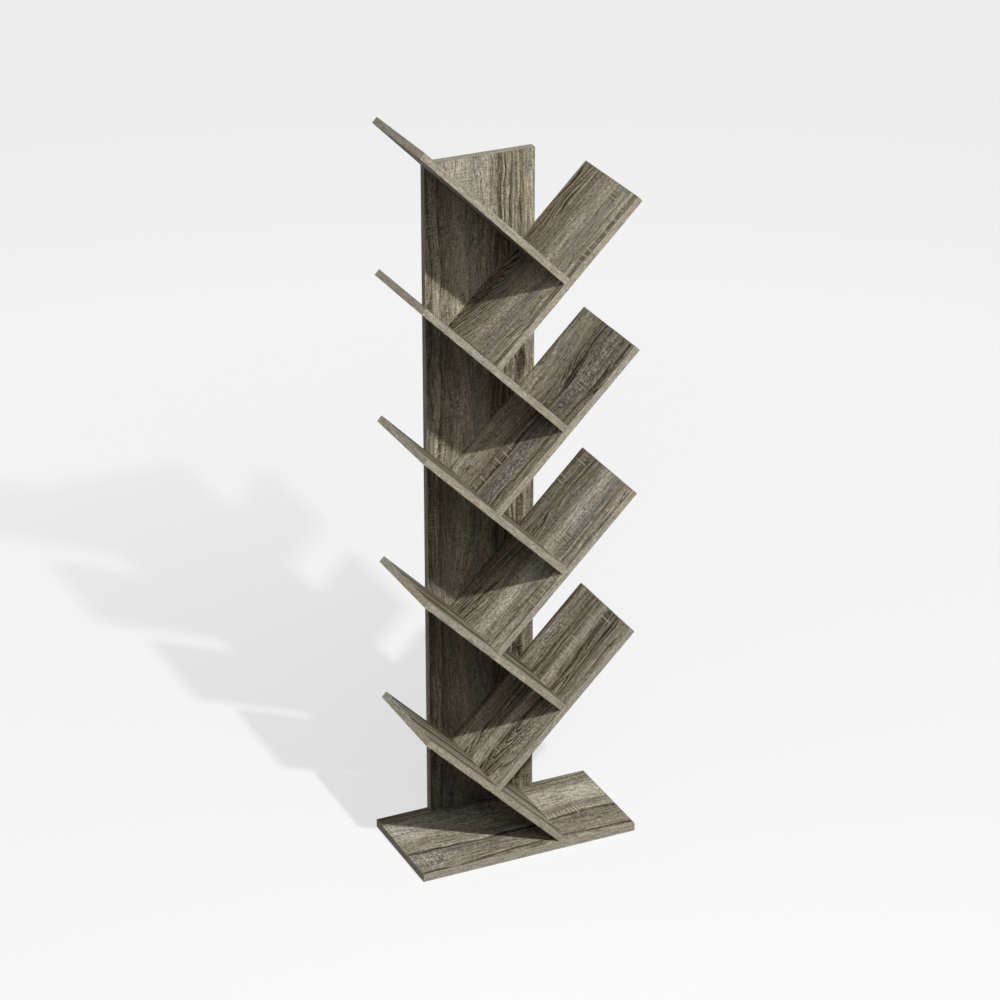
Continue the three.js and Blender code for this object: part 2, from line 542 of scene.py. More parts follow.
class Groups:
    """The node groups that the finishes share, each built once."""

    SIDES = ("At Along", "At Across", "Reach Along", "Reach Across")

    @staticmethod
    @cache
    def grain_field() -> NodeTree:
        """Where a point of a board lies in the print, with the grain's slow wander."""
        w = GroupWiring("grain_field", "Place", "Seed", "Drift")
        place, seed, drift = w.given
        x, y, z = w.parts(place)
        under = w.maths("LESS_THAN", z, 0.0)
        along = x * 1000.0 + under * 137.0
        across = y * (under * -2000.0 + 1000.0)
        cell = seed * 13.7 + under * 5.3
        slow = (w.layer(Oak.SLOW_WANDER, along, across, cell) - 0.5) * drift
        quick = (w.layer(Oak.QUICK_WANDER, along, across, cell) - 0.5) * drift
        return w.close(Along=along, Across=across + (slow * 3.2 + quick * 1.3), Cell=cell)

    @staticmethod
    @cache
    def knot() -> NodeTree:
        """Pushes the grain aside round a knot, so that the streaks loop."""
        w = GroupWiring("knot", "Along", "Across", *Groups.SIDES, "Push")
        along, across, at_along, at_across, reach_along, reach_across, push = w.given
        dx = (along - at_along) / reach_along
        dy = (across - at_across) / reach_across
        heart = w.maths("EXPONENT", (dx * dx + dy * dy) * -1.0)
        return w.close(Across=heart * push + across)

    @staticmethod
    @cache
    def arch() -> NodeTree:
        """Folds the grain about an axis, so that its lines nest in pointed arches."""
        figure = ("Axis", "Start", "End", "Rise", "Blunt", "Reach")
        w = GroupWiring("arch", "Along", "Across", "Slope", "Inked", *figure)
        along, across, slope, inked, axis, start, end, rise, blunt, reach = w.given
        off = across - axis
        far = w.distance(off, blunt)
        went = w.remap(along, start, end, 0.0, rise, smooth=False)
        bent = w.distance(off / far, rise / (end - start))
        begun = w.remap(along - start, -20.0, 20.0)
        ended = w.remap(end - along, -25.0, 25.0)
        drawn = w.remap(abs(off) / reach, 0.6, 1.3, 1.0, 0.0) * begun * ended
        return w.close(
            Across=far + went + axis, Slope=bent.at_most(slope), Inked=drawn.at_least(inked)
        )

    @staticmethod
    @cache
    def grain() -> NodeTree:
        """The oak's streaks, dark lines, fibres, pores and rays at their own scales."""
        w = GroupWiring("grain", "Along", "Across", "Flow", "Slope", "Cell", "Fineness")
        along, across, flow, slope, cell, fineness = w.given
        plain = (along, across, cell)
        flowing = (along, flow, cell)
        small = (along * fineness, across * fineness, cell)
        fibres = w.layer(Oak.FIBRES, *small)
        bend = w.layer(Oak.BEND, *plain)
        phase = fibres * 0.3 + (bend * 4.2 + flow / Oak.LINE_PITCH)
        away = abs(w.maths("FRACT", phase) - 0.5) * Oak.LINE_PITCH / slope
        fine = (fibres - 0.5) * Oak.FIBRE_DEPTH + 1.0
        for layer, depth in ((Oak.SPECKS, Oak.SPECK_DEPTH), (Oak.WEAVE, Oak.WEAVE_DEPTH)):
            fine = (w.layer(layer, *small) - 0.5) * depth + fine
        ray_places = w.remap(w.layer(Oak.RAY_PLACES, *plain), 0.53, 0.66)
        return w.close(
            Bands=w.layer(Oak.BANDS, *flowing),
            Lines=w.remap(away, 0.4, 2.0, 1.0, 0.0),
            Broken=w.remap(w.layer(Oak.BREAKS, *flowing), 0.36, 0.56, 0.15, 1.0),
            Fibres=fibres,
            Fine=fine,
            Pores=w.remap(w.layer(Oak.PORES, *small), 0.56, 0.68),
            Rays=w.remap(w.layer(Oak.RAYS, *plain), 0.56, 0.7) * ray_places,
            Tint=w.layer(Oak.TINT, *plain),
        )

    @staticmethod
    @cache
    def flecks() -> NodeTree:
        """A row of thin pale dashes across the grain, each with its own place and length."""
        figure = ("Start", "End", "Row", "Reach", "Pitch", "Strength", "Ground")
        w = GroupWiring("ray_flecks", "Along", "Across", "Cell", *figure)
        along, across, cell, start, end, row, reach, pitch, strength, ground = w.given
        count = along / pitch
        chance = w.node("TexWhiteNoise", noise_dimensions="1D")
        w.fill(chance, W=w.maths("FLOOR", count) + cell)
        shift, size, lift = w.parts(Wire(w, chance.outputs["Color"]))
        off = abs(w.maths("FRACT", count) - (shift * 0.4 + 0.3))
        dash = w.remap(off * pitch, 0.6, 1.9, 1.0, 0.0)
        middle = (lift - 0.5) * 0.6 * reach + row
        inside = w.remap(reach * (size * 0.9 + 0.35) - abs(across - middle), -2.0, 3.0)
        begun = w.remap(along - start, -3.0, 3.0)
        ended = w.remap(end - along, -3.0, 3.0)
        there = inside * (begun * ended)
        pale = dash * (size * 0.5 + 0.5) * there
        return w.close(Dark=(1.0 - dash) * there * ground, Pale=pale * strength)

    @staticmethod
    @cache
    def weathering() -> NodeTree:
        """A ragged oval patch: the crackled chalk and the net in it, and how rough it is."""
        looks = ("Amount", "Crackle", "Stain", "Net")
        w = GroupWiring("weathering", "Along", "Across", "Cell", *Groups.SIDES, *looks)
        place, figure = w.given[:3], w.given[3:]
        at_along, at_across, reach_along, reach_across, amount, crackled, stain, net = figure
        radius = w.distance((place[0] - at_along) / reach_along, (place[1] - at_across) / reach_across)
        patch = w.remap(radius + w.layer(Oak.RAGGED, *place), 0.9, 1.55, 1.0, 0.0)
        crackle = w.layer(Oak.CRACKLE, *place)
        chalk = w.remap(crackle, 0.45, 0.62) * patch * amount
        cracks = w.remap(abs(w.layer(Oak.NET, *place) - 0.5), 0.015, 0.06, 1.0, 0.0)
        rough = (crackle - 0.5) * patch * crackled
        return w.close(
            Worn=chalk.at_least(patch * stain),
            Net=cracks * patch * net,
            Rough=rough * Oak.CRACKLE_DEPTH,
        )

    @staticmethod
    @cache
    def arris_wear() -> NodeTree:
        """A mask for painted shade along a board's outline: how near a point is to it, with an uneven
        edge.
        """
        w = GroupWiring("arris_wear", "Place", "Half Length", "Half Width")
        place, half_length, half_width = w.given
        x, y, _ = w.parts(place)
        nearest = (half_length - abs(x)).at_most(half_width - abs(y)) * 1000.0
        uneven = w.noise(w.cells(place, 120.0, 120.0, 1.0), 2.0)
        return w.close(Rim=w.remap(uneven * -1.6 + nearest, 0.0, 1.8, 1.0, 0.0))

    @staticmethod
    @cache
    def band_print() -> NodeTree:
        """The plainer grain of an edge band: streaks along it, and fine specks."""
        w = GroupWiring("band_print", "Run", "Side", "Up", "Seed")
        run, side, up, seed = w.given
        place = (run * 1000.0, up * 1000.0, seed * 7.1 + side * 6.0)
        return w.close(
            Streaks=w.layer(Oak.BAND_STREAKS, *place),
            Specks=w.layer(Oak.BAND_SPECKS, *place),
            Tint=w.layer(Oak.BAND_TINT, *place),
        )


# Finishes


def emptied(owner: Material | World) -> NodeTree:
    """The node tree of a material or a world, without its first nodes."""
    owner.use_nodes = True
    owner.node_tree.nodes.clear()
    return owner.node_tree


class Coat(Wiring):
    """One material with a Principled shader."""

    def __init__(self, name: str) -> None:
        """Starts the material with its shader, its output and the point's place on the piece."""
        self.material = bpy.data.materials.new(name)
        super().__init__(emptied(self.material))
        self.shader = self.node("BsdfPrincipled")
        self.node("OutputMaterial", Wire(self, self.shader.outputs[0]))
        self.place = self.made("TexCoord", output="Object")

    def bump(self, height: Wire, strength: float, depth: float) -> None:
        """Feeds the shader's normal from a height, with its depth in millimetres."""
        node = self.node("Bump")
        self.fill(node, Strength=strength, Distance=depth * MM, Height=height)
        self.fill(self.shader, Normal=Wire(self, node.outputs[0]))

    def finish(self, colour: Wire, rough: Wire, **plain: float) -> Material:
        """Feeds the shader's colour, roughness and plain inputs, and gives the material."""
        self.fill(self.shader, Base_Color=colour, Roughness=rough, **plain)
        return self.material


@dataclass(frozen=True)
class OakPrint:
    """The weathered oak decor of one board's two faces."""

    name: str
    seed: float
    streaks: tuple[Streak, ...]
    drift: float = 6.0
    fineness: float = 1.0
    near_level: float = 1.0
    far_level: float = 1.0
    knots: tuple[Knot, ...] = ()
    arches: tuple[Arch, ...] = ()
    rows: tuple[FleckRow, ...] = ()
    patches: tuple[Patch, ...] = ()

    def material(self, length: float, width: float) -> Material:
        """Builds the decor for a board.

        Args:
            length: the board's length in millimetres.
            width: its width in millimetres.

        Returns:
            The material.
        """
        w = Coat(self.name)
        seeded = {"Place": w.place, "Seed": self.seed, "Drift": self.drift}
        along, across, cell = w.group(Groups.grain_field(), **seeded)
        for knot in self.knots:
            across = w.group(Groups.knot(), Along=along, Across=across, **inputs_of(knot))[0]
        place = {"Along": along, "Across": across, "Cell": cell}
        flow, slope, inked = across, 1.0, 0.0
        for arch in self.arches:
            before = {"Along": along, "Across": flow, "Slope": slope, "Inked": inked}
            flow, slope, inked = w.group(Groups.arch(), **before, **inputs_of(arch))
        grain = w.group(Groups.grain(), **place, Flow=flow, Slope=slope, Fineness=self.fineness)
        bands, lines, broken, fibres, plain, pores, rays, tint = grain
        share = ((fibres - 0.5) * Oak.FEATHER + across) * (1 / width) + 0.5
        stops = ((streak.at, (*streak.tone.linear[:3], streak.lined)) for streak in self.streaks)
        colour, lined = w.ramp(share, *stops)
        fine = plain
        for patch in self.patches:
            worn, net, rough = w.group(Groups.weathering(), **place, **inputs_of(patch))
            colour = w.blend(worn, colour, patch.tone.linear)
            colour = w.blend(net, colour, Tone.CHALK.linear)
            fine = rough + fine
        strength = lined.at_least(inked)
        drawn = lines * (strength * broken.at_least(strength * 1.6 - 0.9))
        inking = inked * -Oak.ARCH_DEPTH - Oak.LINE_DEPTH
        light = w.remap(bands, 0.3, 0.7, 0.77, 1.23, smooth=False)
        light = light * (drawn * inking + Oak.LINE_LIFT).at_least(Oak.LINE_FLOOR)
        # The print's brightness runs from near_level at one end to far_level at the other; on the
        # trunk this is painted shade, darker towards the bottom.
        ends = (-length / 2, length / 2, self.near_level, self.far_level)
        light = light * w.remap(along, *ends, smooth=False) * fine.at_least(Oak.FINE_FLOOR)
        half = {"Half_Length": length * MM / 2, "Half_Width": width * MM / 2}
        # Painted shade: the laminate is darkened by RIM_DEPTH in a thin, uneven strip along the
        # board's outline.
        rim = w.group(Groups.arris_wear(), Place=w.place, **half)[0]
        colour = w.shade(colour, light * (rim * -Oak.RIM_DEPTH + 1.0))
        colour = w.blend(pores * 0.45, colour, Tone.INK.linear)
        colour = w.blend(rays * 0.2, colour, Tone.CHALK.linear)
        for row in self.rows:
            dark, pale = w.group(Groups.flecks(), **place, **inputs_of(row))
            colour = w.blend(dark, colour, Tone.BARK.linear)
            colour = w.blend(pale, colour, Tone.CREAM.linear)
        warmth = w.blend(w.remap(tint, 0.35, 0.65), Oak.COOL, Oak.WARM)
        colour = w.blend(1.0, colour, warmth, "MULTIPLY")
        w.bump(fine - (drawn * 0.6 + pores), 0.4, 0.12)
        rough = drawn * 0.1 + (plain * 0.1 + 0.5)
        return w.finish(colour, rough, Specular_IOR_Level=Oak.SHEEN)


class Run(Enum):
    """Which way the print of an edge band runs."""

    ALONG = "along"
    ACROSS = "across"


@dataclass(frozen=True)
class EdgeBand:
    """The thin plain band glued round a board's edges."""

    name: str
    run: Run
    ground: Srgb = (170, 163, 148)
    cool: Colour = (0.97, 1.0, 1.0, 1.0)
    warm: Colour = (1.04, 1.0, 0.94, 1.0)

    def material(self) -> Material:
        """Builds the band's finish, with its streaks along the edge."""
        w = Coat(self.name)
        x, y, z = w.parts(w.place)
        run, side = (x, y) if self.run is Run.ALONG else (y, x)
        board = w.made("ObjectInfo", output="Random")
        band = w.group(Groups.band_print(), Run=run, Side=side, Up=z, Seed=board)
        streaks, specks, tint = band
        warmth = w.blend(w.remap(tint, 0.35, 0.65), self.cool, self.warm)
        colour = w.blend(1.0, linear(self.ground), warmth, "MULTIPLY")
        light = w.remap(streaks, 0.3, 0.7, 0.66, 1.32, smooth=False)
        light = light * w.remap(specks, 0.32, 0.68, 0.7, 1.28, smooth=False)
        w.bump(specks, 0.25, 0.08)
        rough = specks * 0.2 + 0.45
        return w.finish(w.shade(colour, light), rough, Specular_IOR_Level=Oak.SHEEN)


@dataclass(frozen=True)
class GlueLine:
    """The dark hairline where an edge band meets a face."""

    name: str = "glue_line"

    def material(self) -> Material:
        """Builds the line's finish."""
        w = Coat(self.name)
        dirt = w.noise(w.cells(w.place, 90.0, 90.0, 1.0), 2.0)
        colour = w.blend(w.remap(dirt, 0.35, 0.65), Tone.BARK.linear, Tone.UMBER.linear)
        return w.finish(colour, w.remap(dirt, 0.3, 0.7, 0.6, 0.8))


@dataclass(frozen=True)
class ChipCore:
    """The pressed chips that show in a drilled bore."""

    name: str = "chip_core"
    dark: Srgb = (120, 92, 60)
    middle: Srgb = (168, 138, 98)
    light: Srgb = (196, 170, 128)

    def material(self) -> Material:
        """Builds the core's finish."""
        w = Coat(self.name)
        chips = w.node("TexVoronoi")
        w.fill(chips, Vector=w.cells(w.place, 700.0, 700.0, 700.0), Scale=1.0)
        chip = w.parts(Wire(w, chips.outputs["Color"]))[0]
        stops = ((0.0, self.dark), (0.5, self.middle), (1.0, self.light))
        colour = w.ramp(chip, *((at, linear(tone)) for at, tone in stops))[0]
        w.bump(Wire(w, chips.outputs["Distance"]), 0.5, 0.2)
        return w.finish(colour, w.remap(chip, 0.0, 1.0, 0.75, 0.95))


@dataclass(frozen=True)
class ZincSteel:
    """Bright zinc plate on the screws, turned and a little tarnished."""

    name: str = "zinc_steel"
    cool: Srgb = (168, 169, 172)
    warm: Srgb = (196, 194, 186)

    def material(self) -> Material:
        """Builds the plate's finish."""
        w = Coat(self.name)
        x, y, z = w.parts(w.place)
        radius = w.distance(x, y) * 9000.0
        turning = w.noise(w.made("CombineXYZ", radius, 0.0, z), 1.0)
        cloud = w.noise(w.cells(w.place, 260.0, 260.0, 260.0), 3.0)
        plate = w.blend(w.remap(cloud, 0.35, 0.65), linear(self.cool), linear(self.warm))
        plate = w.shade(plate, w.remap(turning, 0.3, 0.7, 0.9, 1.06, smooth=False))
        w.bump(turning, 0.2, 0.03)
        return w.finish(plate, turning * 0.12 + (cloud * 0.3 + 0.18), Metallic=1.0)


@dataclass(frozen=True)
class Beech:
    """The dowels' turned beech, with its short flecks."""

    name: str = "beech"
    dark: Srgb = (176, 138, 92)
    middle: Srgb = (204, 170, 122)
    light: Srgb = (222, 194, 150)
    fleck: Srgb = (138, 96, 60)

    def material(self) -> Material:
        """Builds the beech finish, with its grain along Z."""
        w = Coat(self.name)
        fibres = w.noise(w.cells(w.place, 900.0, 900.0, 60.0), 3.0, 0.6)
        flecks = w.remap(w.noise(w.cells(w.place, 1600.0, 1600.0, 380.0)), 0.58, 0.7)
        stops = ((0.3, self.dark), (0.5, self.middle), (0.7, self.light))
        colour = w.ramp(fibres, *((at, linear(tone)) for at, tone in stops))[0]
        colour = w.blend(flecks * 0.5, colour, linear(self.fleck))
        w.bump(fibres, 0.3, 0.1)
        return w.finish(colour, fibres * 0.2 + 0.55)


# Decor of each board


def streaks(plan: str) -> tuple[Streak, ...]:
    """Reads a plan of a board's streaks.

    Args:
        plan: for each streak, with commas between them, its place in percent of the board's width,
            its tone, and how strongly its lines show, in tenths, where that isn't 4.

    Returns:
        The streaks in order across the board.
    """
    made = []
    for entry in plan.split(","):
        place, tone, *lined = entry.split()
        strength = (float(tenths) / 10 for tenths in lined)
        made.append(Streak(float(place) / 100, Tone[tone.upper()], *strength))
    return tuple(made)


def base_print() -> OakPrint:
    """The decor of the base, from its front edge to the back."""
    t = Tone
    return OakPrint(
        "oak_base", 1.0,
        streaks(
            "0 sand, 2 umber, 3.5 bark, 5 umber, 6.5 sand 6, 9 taupe, 16 taupe 3, 28 mauve 3, "
            "30 taupe 3, 31.5 ink 6, 33.5 umber 7, 36 pale 6, 40 sand 5, 46 taupe 5, 52 sand 3, "
            "60 pale 2, 74 pale 1, 80 pale 2, 86 sand, 90 umber 6, 93 sand, 97 umber 6, 100 taupe"
        ),
        drift=9.0, near_level=0.93, far_level=1.06,
        knots=(Knot(210, -30, 120, 30, -9), Knot(80, -100, 120, 16, -7)),
        rows=(FleckRow(70, 150, -25, 12, 7.5, 1.0, 0.4), FleckRow(-212, -190, -66, 26, 5.0, 0.5)),
        patches=(
            Patch(-190, -68, 86, 30, 0.15, 1.6, t.CHALK, 0.0, 0.75),
            Patch(-185, 48, 60, 24, 0.7, 0.6), Patch(110, 70, 60, 24, 0.12, 0.3),
        ),
    )


def trunk_print() -> OakPrint:
    """The decor of the trunk, from its right edge to the left."""
    t = Tone
    return OakPrint(
        "oak_trunk", 2.0,
        streaks(
            "0 sand, 5 olive, 9 sand 5, 12.5 umber 6, 15 umber 8, 17 sand 5, 20 umber 6, "
            "22.5 sand 5, 25 bark 6, 26.2 umber 6, 28.5 sand 5, 31 bark 6, 32.2 sand 5, "
            "34.5 bark 7, 35.8 umber 5, 39 taupe 5, 46 sand 3, 54 slate 2, 62 sand 1, 70 sand 1, "
            "78 taupe 3, 85 taupe, 88 umber 6, 90 sand 5, 94 sand 6, 97.5 umber 5, 100 taupe"
        ),
        # near_level and far_level paint shade here: the trunk is darker towards the bottom and lighter
        # towards the top, on both faces.
        drift=9.0, fineness=1.6, near_level=0.62, far_level=1.24,
        knots=(
            Knot(240, -80, 46, 12, 3), Knot(600, -40, 130, 40, 10), Knot(200, 44, 60, 20, 10),
            Knot(-340, -74, 40, 14, 3),
        ),
        rows=(
            FleckRow(590, 622, 30, 11, 8.0, 0.5), FleckRow(512, 552, 98, 7, 7.0, 0.6),
            FleckRow(-60, -10, 96, 8, 8.0, 0.5),
        ),
        patches=(
            Patch(244, -80, 40, 10, 0.3, 1.6, t.INK, 0.9),
            Patch(-338, -74, 22, 15, 0.5, 2.4, t.INK, 0.9), Patch(190, 44, 60, 26, 0.3, 1.2),
            Patch(100, 80, 40, 16, 0.35, 0.5),
        ),
    )


def right_prints() -> dict[int, OakPrint]:
    """The decors of the branches that lean right, by number, from front to back."""
    t = Tone
    fourth = OakPrint(
        "oak_branch_2", 4.0,
        streaks(
            "0 olive, 4 sand 5, 9 taupe 6, 13 sand 7, 18 taupe 9, 24 umber 9, 30 taupe 10, "
            "35 umber 10, 37.2 bark 8, 39 olive 5, 44 sand 3, 50 pale 2, 55 sand 3, 58 umber 7, "
            "60 olive 7, 63 taupe 7, 65 bark 9, 67 taupe 9, 70 olive 8, 72.2 bark 9, 74 taupe 5, "
            "86 taupe, 93 sand, 96.5 umber 6, 100 bark"
        ),
        drift=7.0, near_level=1.2, far_level=0.97,
        knots=(Knot(0, -62, 100, 44, 14),),
        arches=(Arch(-38, -205, -60, -30, 3.5, 19.0),),
        rows=(
            FleckRow(66, 118, 6, 11, 8.0, 0.8), FleckRow(134, 162, 4, 14, 7.0, 0.75),
            FleckRow(164, 178, -26, 16, 7.0), FleckRow(-150, -128, -34, 8, 6.0, 0.6, 0.4),
        ),
        patches=(
            Patch(-174, -40, 24, 12, 0.9, 0.8, t.INK, 0.5), Patch(-140, -38, 18, 8, 0.8, 0.8, t.INK),
            Patch(-96, -38, 26, 8, 0.7, 0.6, t.BARK), Patch(-60, -62, 110, 22, 0.3, 0.6),
            Patch(70, 70, 90, 22, 0.2),
        ),
    )
    third = OakPrint(
        "oak_branch_4", 6.0,
        streaks(
            "0 umber 6, 2.5 sand 6, 5 sand 6, 9 pale 6, 12 sand 7, 15 umber 6, 17 sand 5, "
            "21 slate 6, 26 slate, 30 sand 3, 37 pale 2, 44 pale 2, 50 sand 3, 55 taupe, "
            "60 mauve 5, 66 taupe 6, 71 umber 9, 75 taupe 9, 80 umber 10, 86 taupe 10, "
            "91 olive 10, 96 umber 9, 100 bark 6"
        ),
        drift=7.0, near_level=1.14, far_level=1.11,
        knots=(Knot(-150, 12, 50, 30, 12),),
        arches=(Arch(88, -200, -96, -18, 5.0),),
        rows=(
            FleckRow(32, 56, -36, 12, 6.0, 0.75, 0.55), FleckRow(14, 58, -14, 8, 7.0, 0.45),
            FleckRow(-86, -18, -92, 14, 11.0), FleckRow(102, 132, 88, 10, 12.0),
            FleckRow(164, 184, 72, 24, 9.0, 0.8), FleckRow(32, 50, -96, 9, 6.0, 0.5),
        ),
        patches=(
            Patch(43, -32, 15, 13, 0.8, 0.6, t.BARK), Patch(110, -99, 110, 5, 0.9, 0.4, t.INK),
            Patch(-100, 82, 90, 12, 0.6, 0.4, t.INK), Patch(88, -30, 40, 12, 0.6, 0.4),
            Patch(-120, -10, 80, 40, 0.3, 0.8),
        ),
    )
    second = OakPrint(
        "oak_branch_6", 8.0,
        streaks(
            "0 sand 7, 3 taupe 8, 6 sand 8, 9 umber 9, 11 umber 9, 14 sand 6, 17 mauve 5, "
            "25 mauve 3, 36 mauve 3, 40 taupe, 42.2 umber 7, 43.4 ink 8, 45 umber 9, 48 sand 8, "
            "51 umber 8, 54 taupe 6, 56 umber 7, 59 taupe, 70 sand 2, 82 sand 2, 90 pale 2, "
            "96 sand, 100 umber"
        ),
        drift=7.0, near_level=1.03, far_level=0.87,
        knots=(Knot(190, -2, 80, 24, -17),),
        arches=(Arch(-88, 70, 210, -24, 4.0, 13.0), Arch(-8, 50, 210, -24, 2.5, 16.0)),
        rows=(
            FleckRow(-186, -152, -6, 20, 17.0, 0.85), FleckRow(-134, -84, -6, 17, 14.0, 0.85),
            FleckRow(66, 84, -50, 24, 8.0, 0.5), FleckRow(-114, -84, 60, 22, 9.0, 0.35),
        ),
        patches=(
            Patch(130, -86, 60, 12, 0.7, 0.4, t.INK), Patch(110, -10, 66, 11, 0.8, 0.4, t.INK),
            Patch(100, -46, 120, 28, 0.4), Patch(-110, -54, 90, 26, 0.35),
        ),
    )
    first = OakPrint(
        "oak_branch_8", 10.0,
        streaks(
            "0 taupe 6, 1.2 umber 6, 3 sand 7, 5.5 umber 8, 8.5 pale 6, 12 sand 6, 14.5 taupe 7, "
            "18 sand, 26 slate, 34 taupe 3, 40 sand 2, 48 sand 2, 56 taupe, 64 olive 6, "
            "70 taupe 9, 76 olive 10, 81 taupe 10, 86 umber 10, 90 taupe 10, 94 umber 10, "
            "97 taupe 8, 100 bark 5"
        ),
        drift=7.0, near_level=1.03, far_level=1.28,
        knots=(Knot(-215, 60, 70, 50, -22), Knot(120, 70, 60, 22, -5)),
        arches=(Arch(100, -205, -10, -44, 9.0, 40.0),),
        rows=(
            FleckRow(40, 72, -92, 13, 12.0, 0.8), FleckRow(80, 160, -92, 12, 24.0, 0.8),
            FleckRow(158, 174, -40, 11, 7.0, 0.6, 0.4),
        ),
        patches=(
            Patch(-130, 84, 84, 30, 0.75, 0.5, t.INK), Patch(167, -38, 11, 12, 0.6, 0.4, t.BARK),
            Patch(-110, -10, 90, 40, 0.25), Patch(60, 0, 90, 36, 0.2),
        ),
    )
    return {2: fourth, 4: third, 6: second, 8: first}


def left_prints() -> dict[int, OakPrint]:
    """The decors of the branches that lean left, by number, from front to back."""
    plans = {
        1: streaks(
            "0 umber 6, 4 sand 5, 7.5 umber 7, 10.5 ink 9, 13.5 umber 6, 17 pale 6, 21 olive 8, "
            "25 pale 5, 33 sand 6, 42 taupe 7, 48 ink 9, 53 bark 8, 58 sand 5, 66 olive 6, "
            "74 umber 8, 82 taupe 6, 90 bark 9, 100 bark 8"
        ),
        3: streaks(
            "0 pale, 6 sand 5, 14 olive 7, 22 umber 8, 28 ink 9, 33 umber 7, 40 sand 5, "
            "47 olive 7, 54 pale, 62 umber 7, 70 ink 9, 75 bark 8, 82 taupe 5, 90 umber, "
            "100 ink 8"
        ),
        5: streaks(
            "0 sand, 8 taupe 7, 15 sand 5, 21 bark 8, 27 umber 6, 36 taupe 5, 46 slate 3, "
            "55 sand, 64 umber 8, 72 taupe 5, 80 olive 8, 87 bark 9, 100 ink 8"
        ),
        7: streaks(
            "0 taupe 6, 10 sand 5, 18 umber 8, 25 bark 9, 32 umber 7, 45 pale, 55 taupe 5, "
            "64 bark 8, 74 mauve 5, 84 umber 8, 92 ink 9, 100 bark 8"
        ),
        9: streaks(
            "0 bark 8, 6 ink 9, 12 umber 7, 20 bark 9, 28 umber 7, 38 olive 6, 48 slate, "
            "58 umber 6, 66 ink 9, 72 umber 8, 82 olive 6, 90 bark 9, 100 ink 8"
        ),
    }
    return {
        number: OakPrint(f"oak_branch_{number}", 2.0 + number, plan, 7.0)
        for number, plan in plans.items()
    }


def board_prints() -> dict[str, OakPrint]:
    """The decor of each board, by its node."""
    branches = {**right_prints(), **left_prints()}
    prints = {branch_name(number): decor for number, decor in branches.items()}
    return {"base": base_print(), "trunk": trunk_print(), **prints}


# Fasteners


def mesh_from(bm: BMesh, name: str) -> Mesh:
    """Turns a bmesh into a mesh, with its faces pointing outwards, and frees it."""
    bmesh.ops.recalc_face_normals(bm, faces=bm.faces)
    mesh = bpy.data.meshes.new(name)
    bm.to_mesh(mesh)
    bm.free()
    return mesh


def link_object(name: str, data: bpy.types.ID, place: Matrix) -> Object:
    """Puts a mesh, a lamp or a camera in the scene, at a place in metres."""
    made = bpy.data.objects.new(name, data)
    bpy.context.scene.collection.objects.link(made)
    made.matrix_world = place
    return made


def metres(place: Matrix) -> Matrix:
    """A placement in metres from one in millimetres."""
    moved = place.copy()
    moved.translation = place.translation * MM
    return moved


def turns(sides: int) -> list[float]:
    """The angles of a ring's points."""
    return [2 * math.pi * index / sides for index in range(sides)]


def ring(radii: list[float], height: float) -> list[Point]:
    """A closed ring of points at one height, from their radii in order."""
    angles = turns(len(radii))
    return [(r * math.cos(turn), r * math.sin(turn), height) for r, turn in zip(radii, angles)]


def tube(name: str, rings: list[list[Point]]) -> Mesh:
    """Joins closed rings of points into a tube, capped at both ends.

    Args:
        name: the mesh's name.
        rings: rings of the same number of points, in millimetres.

    Returns:
        The tube's mesh.
    """
    bm = bmesh.new()
    rows = [[bm.verts.new(Vector(point) * MM) for point in points] for points in rings]
    sides = len(rows[0])
    for lower, upper in zip(rows, rows[1:]):
        for index in range(sides):
            after = (index + 1) % sides
            bm.faces.new((lower[index], lower[after], upper[after], upper[index]))
    bm.faces.new(rows[0])
    bm.faces.new(list(reversed(rows[-1])))
    return mesh_from(bm, name)


